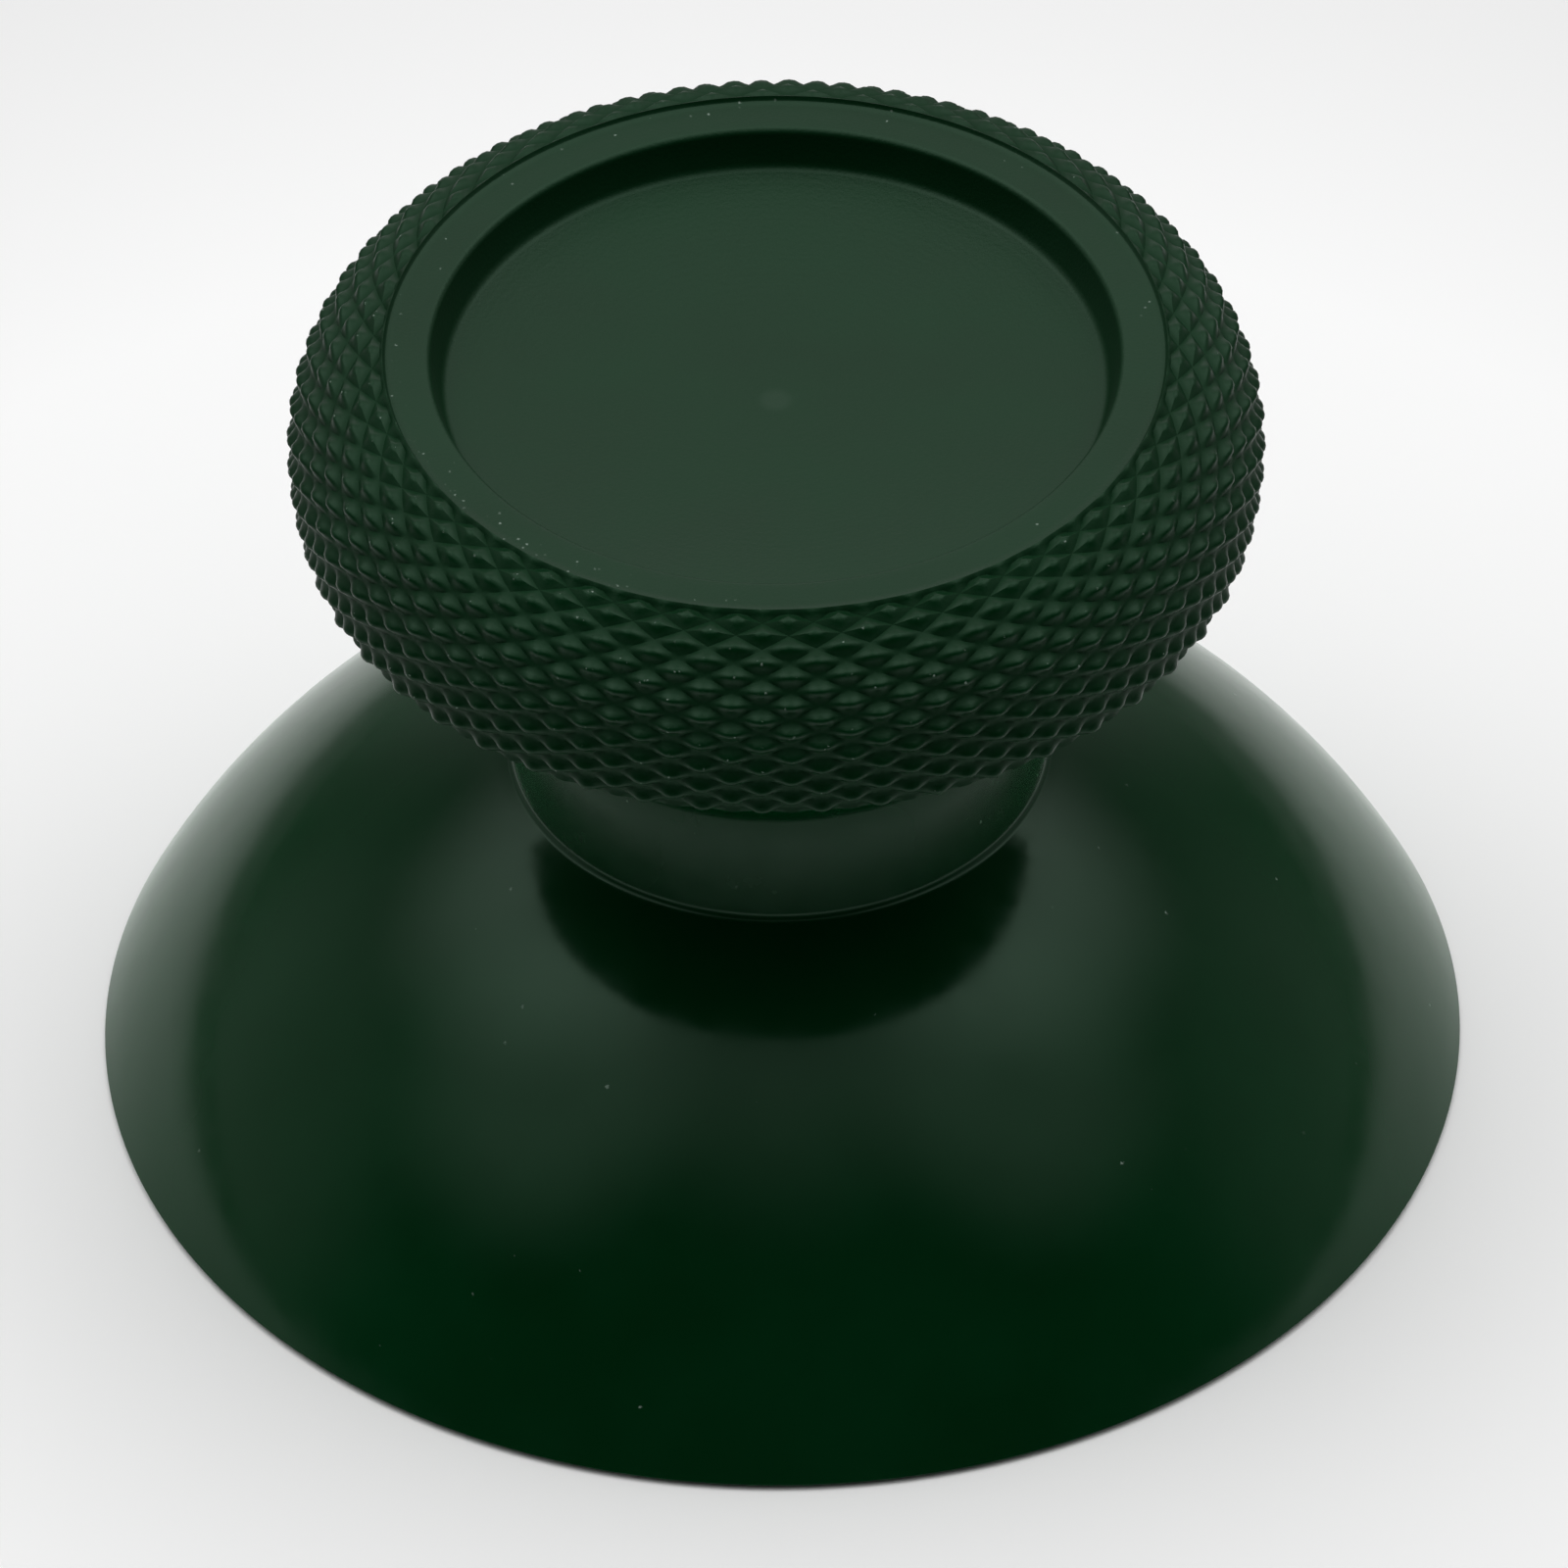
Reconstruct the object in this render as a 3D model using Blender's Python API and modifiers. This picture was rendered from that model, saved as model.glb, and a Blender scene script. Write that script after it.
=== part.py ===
"""Thumbstick cap of a game controller, moulded in one piece.

A round knob with a recessed thumb dish and a diamond-knurled side stands on a short neck over a thin
dome. Under the dome hangs the boss with the double-D socket that presses onto the joystick's stem.
The frame: metres, +Z up, origin at the centre of the dome's rim, which the cap rests on.
"""

import math

import bmesh
import bpy
from mathutils import Matrix, Vector

MM = 1 / 1000

# Dome, in millimetres like all the sizes below; its sphere's centre lies under its largest ring
DOME_RIM_RADIUS = 11.5
DOME_RIM_LAND = 0.10
DOME_CENTRE_DROP = 5.436
DOME_SPHERE_RADIUS = math.hypot(DOME_RIM_RADIUS, DOME_CENTRE_DROP)
DOME_WALL = 1.15
DOME_ROWS = 8

# Neck
NECK_RADIUS = 4.5
NECK_TOP_HEIGHT = 8.7
NECK_DOME_FILLET = 0.5
FILLET_ROWS = 4

# Knob: the height and radius of each ring of its section
KNOB_TOP_HEIGHT = 15.18
DISH_EDGE_RADIUS = 5.57
DISH_EDGE_HEIGHT = 14.50
DISH_SAG = 0.34
DISH_ROWS = 4
LIP_RADIUS = 5.75
LIP_ROUND = 0.12
LAND_RADIUS = 6.50
BAND_TOP_RADIUS = 6.56
WIDEST_RADIUS = 8.20
WIDEST_HEIGHT = 13.32
SHOULDER_HALF_WIDTH = 1.96
SHOULDER_HALF_HEIGHT = 1.85
LOWER_HALF_WIDTH = 0.80
LOWER_HALF_HEIGHT = 2.03
UNDERSIDE_HOLLOW = 0.9
UNDERSIDE_ROWS = 5

# Diamond knurl round the knob's side; the land's edge cuts off a share of its first half row
KNURL_COLUMNS = 50
KNURL_HALF_ROWS = 17
KNURL_ROW_CUT = 0.15
KNURL_PITCH = 0.512
KNURL_DEPTH = 0.17
KNURL_TURN = math.radians(1.44)

# Boss and socket under the dome
BOSS_RADIUS = 3.2
BOSS_END_HEIGHT = 0.6
BOSS_END_CHAMFER = 0.2
BOSS_ROOT_FILLET = 0.4
SOCKET_DIAMETER = 4.1
SOCKET_ACROSS_FLATS = 3.1
SOCKET_DEPTH = 8.0
SOCKET_LEAD_IN = 0.3

# Facets and cutter lengths
TURN_STEPS = 2 * KNURL_COLUMNS
INNER_STEPS = 56
SOCKET_SIDES = 40
OVERRUN = 1.0
WELD = 0.0005

# Looks
CAP_GREEN = (0.010, 0.045, 0.020, 1.0)
CAP_ROUGHNESS = 0.38
SMOOTH_ANGLE = math.radians(24)


def clear_scene():
    """Removes every object that the opened file holds."""
    for obj in list(bpy.data.objects):
        bpy.data.objects.remove(obj, do_unlink=True)


def new_collection(name, in_render):
    """Links a new collection to the scene; one of cutters is left out of a render."""
    collection = bpy.data.collections.new(name)
    collection.hide_render = not in_render
    bpy.context.scene.collection.children.link(collection)
    return collection


def dome_centre_height():
    """Height of the dome's sphere centre, which puts its largest ring on top of the rim's land."""
    return DOME_RIM_LAND - DOME_CENTRE_DROP


def sphere_height(radius, sphere_radius):
    """Height above the rim plane of a sphere about the dome's centre, at a distance from the axis."""
    return dome_centre_height() + math.sqrt(sphere_radius**2 - radius**2)


def sphere_arc(start_radius, end_radius, sphere_radius, rows):
    """Points down a sphere about the dome's centre, at even angles, both ends included."""
    start = math.asin(start_radius / sphere_radius)
    end = math.asin(end_radius / sphere_radius)
    angles = [start + (end - start) * row / rows for row in range(rows + 1)]
    radii = [sphere_radius * math.sin(angle) for angle in angles]
    return [(radius, sphere_height(radius, sphere_radius)) for radius in radii]


def round_corner(centre, radius, start, end, rows):
    """Points on a circle of the section, from one angle to another in degrees."""
    angles = [math.radians(start + (end - start) * row / rows) for row in range(rows + 1)]
    return [(centre[0] + radius * math.cos(a), centre[1] + radius * math.sin(a)) for a in angles]


def dish_points():
    """The thumb dish: a shallow spherical hollow, its wall, and the rounded lip of the land."""
    sphere = (DISH_EDGE_RADIUS**2 + DISH_SAG**2) / (2 * DISH_SAG)
    bottom = DISH_EDGE_HEIGHT - DISH_SAG
    radii = [DISH_EDGE_RADIUS * row / DISH_ROWS for row in range(DISH_ROWS + 1)]
    floor = [(r, bottom + sphere - math.sqrt(sphere**2 - r**2)) for r in radii]
    lip_centre = (LIP_RADIUS + LIP_ROUND, KNOB_TOP_HEIGHT - LIP_ROUND)
    return floor + round_corner(lip_centre, LIP_ROUND, 180, 90, 2)


def band_curve():
    """Fine points down the knurl's tips: an ellipse over the widest ring and a narrower one under it."""
    fine = 600
    shoulder_centre = WIDEST_RADIUS - SHOULDER_HALF_WIDTH
    start = math.acos((BAND_TOP_RADIUS - shoulder_centre) / SHOULDER_HALF_WIDTH)
    points = []
    for step in range(fine):
        turn = start * (1 - step / fine)
        radius = shoulder_centre + SHOULDER_HALF_WIDTH * math.cos(turn)
        points.append((radius, WIDEST_HEIGHT + SHOULDER_HALF_HEIGHT * math.sin(turn)))
    lower_centre = WIDEST_RADIUS - LOWER_HALF_WIDTH
    for step in range(fine + 1):
        turn = math.pi / 2 * step / fine
        radius = lower_centre + LOWER_HALF_WIDTH * math.cos(turn)
        points.append((radius, WIDEST_HEIGHT - LOWER_HALF_HEIGHT * math.sin(turn)))
    return points


def band_rings():
    """Rings down the band at half rows: each is a point at the groove floor and the normal there."""
    fine = band_curve()
    half_row = KNURL_PITCH / 2
    places = [0.0] + [(row - KNURL_ROW_CUT) * half_row for row in range(1, KNURL_HALF_ROWS + 1)]
    rings = []
    walked = 0.0
    for before, after in zip(fine, fine[1:]):
        length = math.dist(before, after)
        normal = ((before[1] - after[1]) / length, (after[0] - before[0]) / length)
        while len(rings) < len(places) and places[len(rings)] <= walked + length:
            share = (places[len(rings)] - walked) / length
            radius = before[0] + share * (after[0] - before[0])
            height = before[1] + share * (after[1] - before[1])
            rings.append((radius - KNURL_DEPTH * normal[0], height - KNURL_DEPTH * normal[1], normal))
        walked += length
    return rings


def underside_points(band_end):
    """The smooth underside: a hollow curve from the band's end in to the top of the neck."""
    corner = (NECK_RADIUS, NECK_TOP_HEIGHT + UNDERSIDE_HOLLOW)
    foot = (NECK_RADIUS, NECK_TOP_HEIGHT)
    points = []
    for row in range(1, UNDERSIDE_ROWS + 1):
        t = row / UNDERSIDE_ROWS
        weights = ((1 - t) ** 2, 2 * t * (1 - t), t**2)
        points.append(
            tuple(sum(w * p[axis] for w, p in zip(weights, (band_end, corner, foot))) for axis in (0, 1))
        )
    return points


def neck_and_dome_points():
    """The neck's foot fillet, rolled between the neck and the dome, then the dome and its rim."""
    centre_radius = NECK_RADIUS + NECK_DOME_FILLET
    centre = (centre_radius, sphere_height(centre_radius, DOME_SPHERE_RADIUS + NECK_DOME_FILLET))
    touch_radius = centre_radius * DOME_SPHERE_RADIUS / (DOME_SPHERE_RADIUS + NECK_DOME_FILLET)
    turn = math.degrees(math.acos(centre_radius / (DOME_SPHERE_RADIUS + NECK_DOME_FILLET)))
    fillet = round_corner(centre, NECK_DOME_FILLET, 180, 180 + turn, FILLET_ROWS)
    dome = sphere_arc(touch_radius, DOME_RIM_RADIUS, DOME_SPHERE_RADIUS, DOME_ROWS)
    return fillet + dome[1:] + [(DOME_RIM_RADIUS, 0.0)]


def outer_section():
    """The whole outer section, from the dish's centre down to the centre of the rim plane."""
    points = dish_points()
    points.append((LAND_RADIUS, KNOB_TOP_HEIGHT))
    rings = band_rings()
    points += [(radius, height) for radius, height, _ in rings]
    points += underside_points(points[-1])
    points += neck_and_dome_points()
    points.append((0.0, 0.0))
    return points, rings


def turned_object(name, points, steps, closed=False):
    """An object whose section, in millimetres at +X, a Screw modifier turns about Z."""
    mesh = bpy.data.meshes.new(name)
    edges = [(k, k + 1) for k in range(len(points) - 1)]
    if closed:
        edges.append((len(points) - 1, 0))
    mesh.from_pydata([(r * MM, 0.0, z * MM) for r, z in points], edges, [])
    obj = bpy.data.objects.new(name, mesh)
    screw = obj.modifiers.new("Turn", "SCREW")
    screw.axis = "Z"
    screw.angle = 2 * math.pi
    screw.steps = steps
    screw.render_steps = steps
    screw.use_merge_vertices = True
    screw.merge_threshold = WELD * MM
    screw.use_smooth_shade = True
    return obj


def freeze(obj, collection):
    """Turns an object's evaluated shape into its own mesh, welded, with no modifiers left."""
    collection.objects.link(obj)
    bpy.context.view_layer.update()
    evaluated = obj.evaluated_get(bpy.context.evaluated_depsgraph_get())
    mesh = bpy.data.meshes.new_from_object(evaluated)
    obj.modifiers.clear()
    obj.data = mesh
    mesh.name = obj.name
    shape = bmesh.new()
    shape.from_mesh(mesh)
    bmesh.ops.remove_doubles(shape, verts=shape.verts, dist=WELD * MM)
    shape.to_mesh(mesh)
    shape.free()


def raise_knurl(mesh, rings):
    """Lifts every second vertex of the band's grid into a diamond's point.

    Column and half row number each vertex. Where their sum is even the vertex rises along the
    band's normal, except on the first and last ring; the others stay on the grooves' floor. Each
    four-sided face is then split along the diagonal that joins two groove corners.
    """
    shape = bmesh.new()
    shape.from_mesh(mesh)
    place = {}
    for vert in shape.verts:
        radius = math.hypot(vert.co.x, vert.co.y) / MM
        for row, (ring_radius, ring_height, _) in enumerate(rings):
            if math.dist((radius, vert.co.z / MM), (ring_radius, ring_height)) < WELD * 10:
                turn = math.atan2(vert.co.y, vert.co.x) / (2 * math.pi)
                place[vert] = (round(turn * TURN_STEPS) % TURN_STEPS, row)
    for face in list(shape.faces):
        if len(face.verts) == 4 and all(vert in place for vert in face.verts):
            first = next(k for k, vert in enumerate(face.verts) if sum(place[vert]) % 2 == 1)
            bmesh.utils.face_split(face, face.verts[first], face.verts[(first + 2) % 4])
    for vert, (column, row) in place.items():
        if (column + row) % 2 == 0 and 0 < row < len(rings) - 1:
            normal = rings[row][2]
            outward = Vector((vert.co.x, vert.co.y, 0.0)).normalized() * normal[0]
            vert.co += (outward + Vector((0.0, 0.0, normal[1]))) * KNURL_DEPTH * MM
    shape.to_mesh(mesh)
    shape.free()
    mesh.transform(Matrix.Rotation(KNURL_TURN, 4, "Z"))


def hollow_section():
    """The space under the dome, round the boss, as one closed section from the axis out."""
    inner = DOME_SPHERE_RADIUS - DOME_WALL
    root_radius = BOSS_RADIUS + BOSS_ROOT_FILLET
    root = (root_radius, sphere_height(root_radius, inner - BOSS_ROOT_FILLET))
    turn = math.degrees(math.acos(root_radius / (inner - BOSS_ROOT_FILLET)))
    fillet = round_corner(root, BOSS_ROOT_FILLET, 180, turn, 3)
    rim_inner = math.sqrt(inner**2 - dome_centre_height() ** 2)
    roof = sphere_arc(fillet[-1][0], rim_inner, inner, DOME_ROWS)
    return (
        [(0.0, BOSS_END_HEIGHT), (BOSS_RADIUS - BOSS_END_CHAMFER, BOSS_END_HEIGHT)]
        + [(BOSS_RADIUS, BOSS_END_HEIGHT + BOSS_END_CHAMFER)]
        + fillet
        + roof[1:]
        + [(rim_inner, -OVERRUN), (0.0, -OVERRUN)]
    )


def make_cutter(obj, collection):
    """Files an object with the cutters and shows it as wires."""
    for owner in list(obj.users_collection):
        owner.objects.unlink(obj)
    collection.objects.link(obj)
    obj.hide_render = True
    obj.display_type = "WIRE"


def add_boolean(obj, cutter, operation):
    modifier = obj.modifiers.new(cutter.name, "BOOLEAN")
    modifier.operation = operation
    modifier.solver = "EXACT"
    modifier.object = cutter


def socket_cutter(collection):
    """A round plug with two flats, from below the boss's end up to the socket's floor."""
    bottom = BOSS_END_HEIGHT - OVERRUN / 2
    top = BOSS_END_HEIGHT + SOCKET_DEPTH
    bpy.ops.mesh.primitive_cylinder_add(
        vertices=SOCKET_SIDES,
        radius=SOCKET_DIAMETER / 2 * MM,
        depth=(top - bottom) * MM,
        location=(0.0, 0.0, (top + bottom) / 2 * MM),
    )
    plug = bpy.context.object
    plug.name = "socket_cutter"
    bpy.ops.mesh.primitive_cube_add(size=1.0, location=(0.0, 0.0, (top + bottom) / 2 * MM))
    flats = bpy.context.object
    flats.name = "socket_flats"
    flats.dimensions = (
        (SOCKET_DIAMETER + OVERRUN) * MM,
        SOCKET_ACROSS_FLATS * MM,
        (top - bottom + OVERRUN) * MM,
    )
    bpy.ops.object.transform_apply(location=False, rotation=False, scale=True)
    add_boolean(plug, flats, "INTERSECT")
    make_cutter(plug, collection)
    make_cutter(flats, collection)
    return plug


def lead_in_cutter(collection):
    """A cone that chamfers the socket's mouth at 45 degrees."""
    below = OVERRUN / 4
    mouth = SOCKET_DIAMETER / 2 + SOCKET_LEAD_IN
    bpy.ops.mesh.primitive_cone_add(
        vertices=SOCKET_SIDES,
        radius1=(mouth + below) * MM,
        radius2=SOCKET_DIAMETER / 2 * MM,
        depth=(SOCKET_LEAD_IN + below) * MM,
        location=(0.0, 0.0, (BOSS_END_HEIGHT + (SOCKET_LEAD_IN - below) / 2) * MM),
    )
    cone = bpy.context.object
    cone.name = "lead_in_cutter"
    make_cutter(cone, collection)
    return cone


def plastic():
    """The moulding's dark green plastic."""
    material = bpy.data.materials.new("dark_green_plastic")
    material.use_nodes = True
    shader = material.node_tree.nodes["Principled BSDF"]
    shader.inputs["Base Color"].default_value = CAP_GREEN
    shader.inputs["Roughness"].default_value = CAP_ROUGHNESS
    shader.inputs["Metallic"].default_value = 0.0
    material.diffuse_color = CAP_GREEN
    return material


def main():
    clear_scene()
    parts = new_collection("Thumbstick cap", True)
    cutters = new_collection("Cutters", False)

    section, rings = outer_section()
    cap = turned_object("thumbstick_cap", section, TURN_STEPS)
    freeze(cap, parts)
    raise_knurl(cap.data, rings)
    cap.data.materials.clear()
    cap.data.materials.append(plastic())

    hollow = turned_object("hollow_cutter", hollow_section(), INNER_STEPS, closed=True)
    freeze(hollow, cutters)
    make_cutter(hollow, cutters)
    for cutter in (hollow, socket_cutter(cutters), lead_in_cutter(cutters)):
        add_boolean(cap, cutter, "DIFFERENCE")
    cap.data.shade_smooth()
    cap.data.set_sharp_from_angle(angle=SMOOTH_ANGLE)


main()
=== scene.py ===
"""Finished look of the thumbstick cap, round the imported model.

One closed moulding stands for the CAD solid: the dish, the land, the knurled band, the neck, the
glossy dome and the boss with its socket under it. Lengths are in millimetres up to make_mesh, which
puts them in metres. Heights start at the dome's rim, which the cap stands on.
"""

import math

import bpy
import numpy as np
from mathutils import Matrix, Vector


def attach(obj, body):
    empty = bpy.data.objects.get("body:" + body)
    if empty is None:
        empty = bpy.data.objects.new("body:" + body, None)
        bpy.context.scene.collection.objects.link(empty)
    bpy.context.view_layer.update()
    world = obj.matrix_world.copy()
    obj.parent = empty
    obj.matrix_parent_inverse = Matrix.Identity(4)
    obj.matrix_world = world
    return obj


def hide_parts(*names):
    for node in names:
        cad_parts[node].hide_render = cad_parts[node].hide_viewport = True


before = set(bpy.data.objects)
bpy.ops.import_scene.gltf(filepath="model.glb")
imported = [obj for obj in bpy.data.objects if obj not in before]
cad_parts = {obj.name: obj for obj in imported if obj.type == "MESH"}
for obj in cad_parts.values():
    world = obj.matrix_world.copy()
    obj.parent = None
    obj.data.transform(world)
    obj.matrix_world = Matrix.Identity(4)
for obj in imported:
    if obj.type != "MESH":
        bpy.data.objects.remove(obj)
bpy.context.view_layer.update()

MM = 0.001

# Dome
DOME_RIM_RADIUS = 11.5
DOME_RIM_LAND = 0.10
DOME_CENTRE_DROP = 5.436
DOME_SPHERE_RADIUS = math.hypot(DOME_RIM_RADIUS, DOME_CENTRE_DROP)
DOME_CENTRE_HEIGHT = DOME_RIM_LAND - DOME_CENTRE_DROP
DOME_WALL = 1.15
RIM_CHAMFER = 0.08

# Neck
NECK_RADIUS = 4.5
NECK_TOP_HEIGHT = 8.7
NECK_DOME_FILLET = 0.16

# Knob
KNOB_TOP_HEIGHT = 15.18
DISH_EDGE_RADIUS = 5.57
DISH_EDGE_HEIGHT = 14.50
DISH_SAG = 0.34
DISH_CORNER = 0.10
LIP_RADIUS = 5.75
LIP_ROUND = 0.12
LAND_RADIUS = 6.52
LAND_EDGE_ROUND = 0.01
BAND_TOP_RADIUS = 6.56
WIDEST_RADIUS = 8.20
WIDEST_HEIGHT = 13.32
SHOULDER_HALF_WIDTH = 1.96
SHOULDER_HALF_HEIGHT = 1.96
LOWER_HALF_WIDTH = 0.80
LOWER_HALF_HEIGHT = 2.03
UNDERSIDE_HOLLOW = 0.9

# Diamond knurl; the land's edge cuts off a share of its first half row
KNURL_COLUMNS = 50
KNURL_HALF_ROWS = 17
KNURL_ROW_CUT = 0.15
KNURL_PITCH = 0.512
KNURL_DEPTH = 0.165
KNURL_TOP_DEPTH = 0.115
KNURL_DEEP_START = 2.5
KNURL_DEEP_END = 7.5
KNURL_TURN = math.radians(1.44)
KNURL_CREST = 0.16
KNURL_SOFTNESS = 0.05
KNURL_SLIM = 0.9
KNURL_SLIM_START = 0.3
KNURL_SLIM_END = 5.0
KNURL_RUN_IN = 0.35
KNURL_RUN_OUT = 0.5

# Boss and socket
BOSS_RADIUS = 3.2
BOSS_END_HEIGHT = 0.6
BOSS_END_CHAMFER = 0.2
BOSS_ROOT_FILLET = 0.4
SOCKET_DIAMETER = 4.1
SOCKET_ACROSS_FLATS = 3.1
SOCKET_DEPTH = 8.0
SOCKET_LEAD_IN = 0.3
SOCKET_LEDGE_SLOPE = 0.04

# Steps of the surfaces: a knurl cell is one half column wide and one half row high
CELL_STEPS = 5
KNURL_FIRST_STEP = int(KNURL_ROW_CUT * CELL_STEPS)
BAND_STEPS = 2 * KNURL_COLUMNS * CELL_STEPS
TURN_STEPS = BAND_STEPS // 2

# Camera, and the place that it looks at
VIEW_DISTANCE = 600.0
VIEW_ELEVATION = 41.51
VIEW_ROLL = -0.608
VIEW_CENTRE = (0.071, 0.0, 5.588)
LENS = 816.3
SENSOR = 36.0

# Table, its low far wall, and the painted shade that greys it away from the cap, in metres and in shares of
# white
OPENING_RADIUS = 0.0109
# Painted shade: from the first radius out the table's white fades to grey, which is full at the second,
# standing in for light falling off
SHADE_START_RADIUS = 0.021
SHADE_FULL_RADIUS = 0.080
FLOOR_BEND_RADIUS = 2.4
FLOOR_END_RADIUS = 3.2
FLOOR_RISE = 0.12
FLOOR_GAP = 0.00002
FLOOR_STEPS = 96
TABLE_WHITE = (0.92, 0.92, 0.92, 1.0)
SEEN_WHITE = (1.0, 1.0, 1.0, 1.0)
# Painted shade: the grey that the table fades to far from the cap
FLOOR_SHADE_GREY = (0.26, 0.26, 0.26, 1.0)

# Soft panels round the cap: name, azimuth and elevation of the middle, the angles from it at which the
# light starts to fall and ends, in degrees, and the level
PANELS = (
    ("overhead, behind left", -127, 60, 10, 34, 2.1),
    ("overhead, behind right", 127, 60, 10, 34, 2.1),
    ("window behind", 180, 26, 8, 44, 0.68),
    ("left side", -70, 52, 6, 30, 1.08),
    ("right side", 70, 52, 6, 30, 0.96),
    ("wall left", -105, 15, 10, 40, 0.46),
    ("wall right", 105, 15, 10, 40, 0.36),
    ("wall behind", 180, 20, 30, 70, 0.12),
    ("front, high", 0, 76, 4, 36, 0.80),
    ("under the table", 0, -90, 20, 80, 0.85),
)
ROOM_LEVEL = 0.02

# Plastic's colours and how strongly it reflects
DARK_GREEN = (0.0003, 0.0180, 0.0040, 1.0)
LIGHT_GREEN = (0.0008, 0.0230, 0.0060, 1.0)
DUST_GREY = (0.22, 0.28, 0.24, 1.0)
SHEEN_GREEN = (0.62, 1.0, 0.74, 1.0)
RIM_SHEEN = (0.02, 1.0, 0.25, 1.0)
RIM_SHEEN_WEIGHT = 0.07
RIM_SHEEN_ROUGHNESS = 0.5
PLASTIC_IOR = 1.36
KNURL_IOR = 1.295
POLISHED_IOR = 1.29

# Roughness, from the smoothest places to the dullest
SATIN_ROUGHNESS = (0.38, 0.46)
CREST_ROUGHNESS = 0.33
GROOVE_ROUGHNESS = 0.58
NECK_ROUGHNESS = (0.20, 0.28)
DOME_ROUGHNESS = (0.10, 0.17)
HOLLOW_ROUGHNESS = (0.45, 0.56)
DUST_ROUGHNESS = 0.4
HAZE_SCALE = 1.3
HAZE_LOW = 0.35
HAZE_HIGH = 0.7

# The knurl's relief at which the dull grooves end, the smooth crests start and the worn tips start
GROOVE_RELIEF = 0.10
CREST_RELIEF = 0.60
WORN_RELIEF = 0.70
WORN_SHARE = 0.5

# Grain: the size of its clouds and its depth; the tone is a far slower noise, used over its middle range
FINE_GRAIN = 0.07
COARSE_GRAIN = 0.14
POLISH_WAVE = 3.0
SATIN_GRAIN_DEPTH = 0.0060
KNURL_GRAIN_DEPTH = 0.0040
POLISH_WAVE_DEPTH = 0.012
TONE_SCALE = 0.35
TONE_LOW = 0.3
TONE_HIGH = 0.7

# Turning marks in the dish, and the mark of the mould's gate at its centre
TURNING_SPACING = 0.16
TURNING_SHARE = 0.04
TURNING_FADE_RADIUS = 5.3
TURNING_END_RADIUS = 5.6
GATE_RADIUS = 0.35
GATE_SHARE = 0.035

# Dust: the size of its specks, the share of cells that hold one, the place where it lies thickest, and
# the fall from it: the nearest distance, the farthest, and the share that is left there
LAND_SPECK = 0.075
KNURL_SPECK = 0.065
GLOSS_SPECK = 0.10
LAND_COVER = 0.13
KNURL_COVER = 0.30
GLOSS_COVER = 0.0015
DUST_START_RADIUS = 5.9
DUST_FULL_RADIUS = 6.5
DUSTY_PLACE = (-4.6, -5.2, 15.0)
LAND_DUST_FALL = (1.0, 6.0, 0.14)
KNURL_DUST_FALL = (1.0, 9.0, 0.22)
SPECK_RAGGEDNESS = 2.6
SPECK_SHIFT = 0.8
SPECK_CORE = 0.18
SPECK_REACH = 0.42


def bend(start, corner, end, rows):
    """Points of a section along a curve that leaves start and reaches end, both towards corner.

    The point at share t is (1 - t)^2 start + 2 t (1 - t) corner + t^2 end.
    """
    t = np.linspace(0.0, 1.0, rows + 1)[:, None]
    start, corner, end = np.array(start), np.array(corner), np.array(end)
    return (1 - t) ** 2 * start + 2 * t * (1 - t) * corner + t**2 * end


def straight(start, end, rows):
    """Evenly spaced points of a section on a straight line, both ends included."""
    t = np.linspace(0.0, 1.0, rows + 1)[:, None]
    return (1 - t) * np.array(start) + t * np.array(end)


def arc(centre, radius, first, last, rows):
    """Points of a section on a circle: centre + radius (cos a, sin a), with a from first to last."""
    a = np.radians(np.linspace(first, last, rows + 1))
    return np.stack([centre[0] + radius * np.cos(a), centre[1] + radius * np.sin(a)], axis=1)


def dome_height(radius, sphere_radius):
    """Height at a distance from the axis on a sphere about the dome's centre."""
    return DOME_CENTRE_HEIGHT + np.sqrt(sphere_radius**2 - radius**2)


def dome_arc(first_radius, last_radius, sphere_radius, rows):
    """Points of a section on such a sphere, at even angles between two distances from the axis."""
    first, last = np.arcsin(first_radius / sphere_radius), np.arcsin(last_radius / sphere_radius)
    radii = sphere_radius * np.sin(np.linspace(first, last, rows + 1))
    return np.stack([radii, dome_height(radii, sphere_radius)], axis=1)


def dish_section():
    """The thumb dish, its wall, the round lip and the flat land, from beside the axis outwards.

    The dish's floor is a sphere's cap: bottom + R - sqrt(R^2 - r^2), where R = (r_edge^2 + sag^2) / (2 sag).
    """
    sphere = (DISH_EDGE_RADIUS**2 + DISH_SAG**2) / (2 * DISH_SAG)
    bottom = DISH_EDGE_HEIGHT - DISH_SAG
    edge = (DISH_EDGE_RADIUS, DISH_EDGE_HEIGHT)
    radii = np.linspace(DISH_EDGE_RADIUS / 18, DISH_EDGE_RADIUS - DISH_CORNER, 18)
    floor = np.stack([radii, bottom + sphere - np.sqrt(sphere**2 - radii**2)], axis=1)
    lip_centre = (LIP_RADIUS + LIP_ROUND, KNOB_TOP_HEIGHT - LIP_ROUND)
    wall_foot = (np.array(edge) * 0.8 + np.array([LIP_RADIUS, lip_centre[1]]) * 0.2).tolist()
    corner = bend(floor[-1], edge, wall_foot, 4)
    lip = arc(lip_centre, LIP_ROUND, 180, 90, 6)
    land_end = (LAND_RADIUS - LAND_EDGE_ROUND, KNOB_TOP_HEIGHT)
    land = straight(lip[-1], land_end, 4)
    return np.concatenate([floor, corner[1:], lip, land[1:]])


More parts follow.
